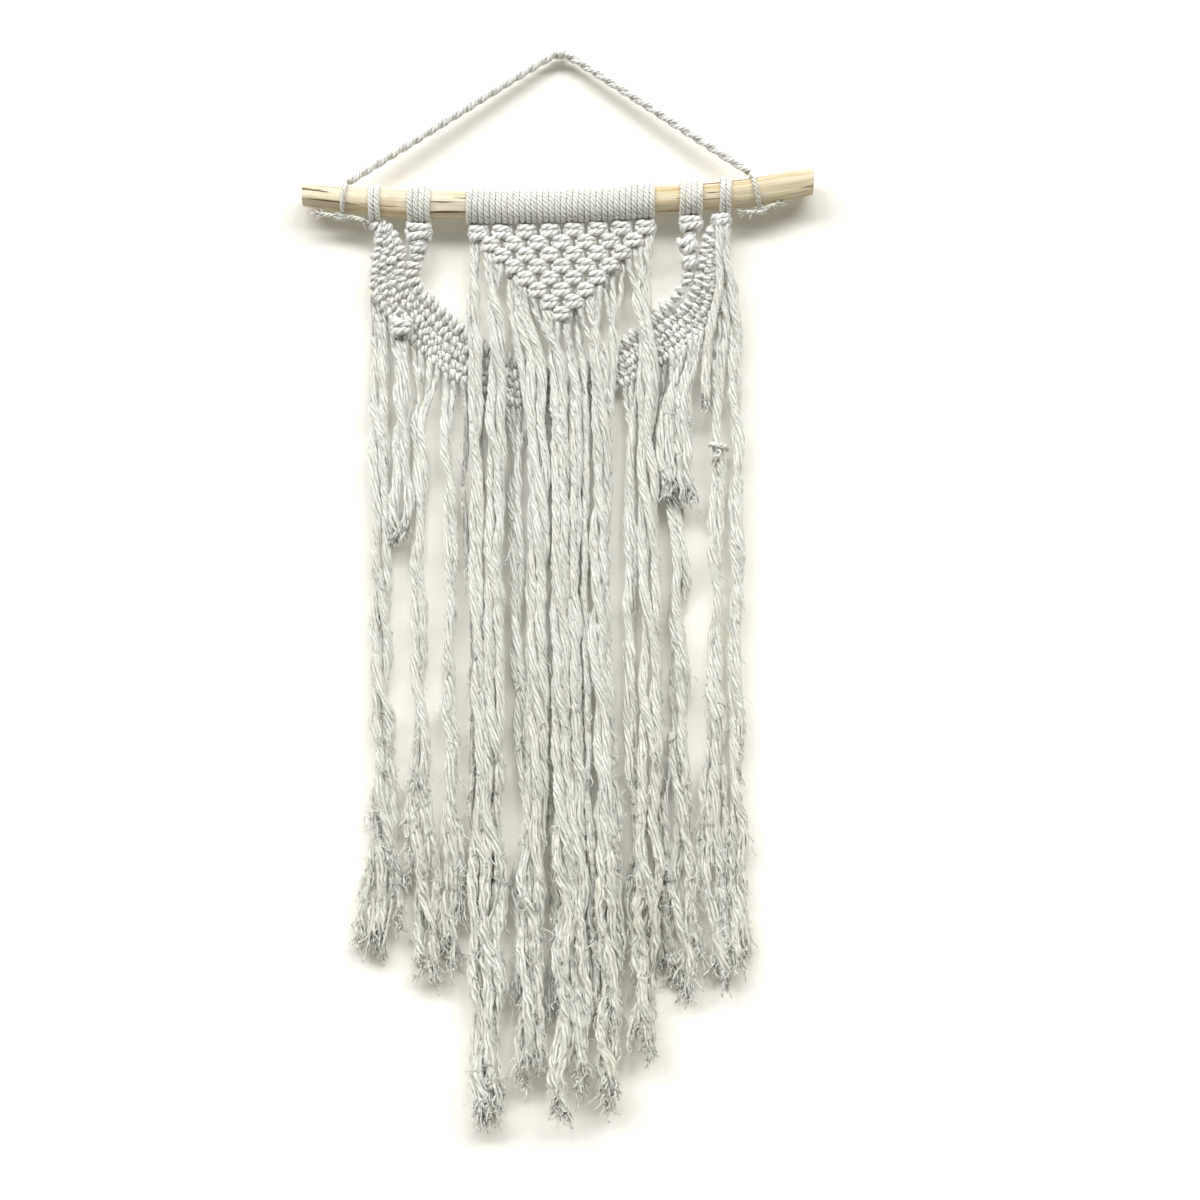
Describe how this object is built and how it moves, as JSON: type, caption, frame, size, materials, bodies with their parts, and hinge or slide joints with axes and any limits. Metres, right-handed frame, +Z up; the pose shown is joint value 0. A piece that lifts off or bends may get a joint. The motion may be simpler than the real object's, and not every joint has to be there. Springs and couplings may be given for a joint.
{
  "type": "macrame wall hanging on a branch",
  "caption": "Macrame wall hanging: a triangular net of square knots, ribbed side bands and long cotton fringe on a peeled branch, hung by a twisted rope from a ball-headed wall pin.",
  "frame": {"origin": "centre of the pin shank's flat back face, where the pin enters the wall", "axes": "+Z up, +X to the right as the front is seen, +Y into the wall; the wall is the plane y = 0 and the front faces -Y"},
  "size_m": [0.337, 0.0263, 0.7147],
  "materials": {
    "cotton_cord": "matt, off-white twisted cotton cord",
    "branch_wood": "dry peeled wood with long fine cracks",
    "pin_plastic": "gloss white"
  },
  "bodies": {
    "root": {"pin": "pin_plastic", "branch": "branch_wood", "hanger_rope": "cotton_cord", "hanger_tie_left": "cotton_cord", "hanger_tie_right": "cotton_cord", "centre_heading": "cotton_cord", "wraps_left_outer": "cotton_cord", "wraps_left_inner": "cotton_cord", "wraps_right_inner": "cotton_cord", "wraps_right_outer": "cotton_cord", "centre_net": "cotton_cord", "side_band_left": "cotton_cord", "side_band_right": "cotton_cord"}
  },
  "joints": []
}
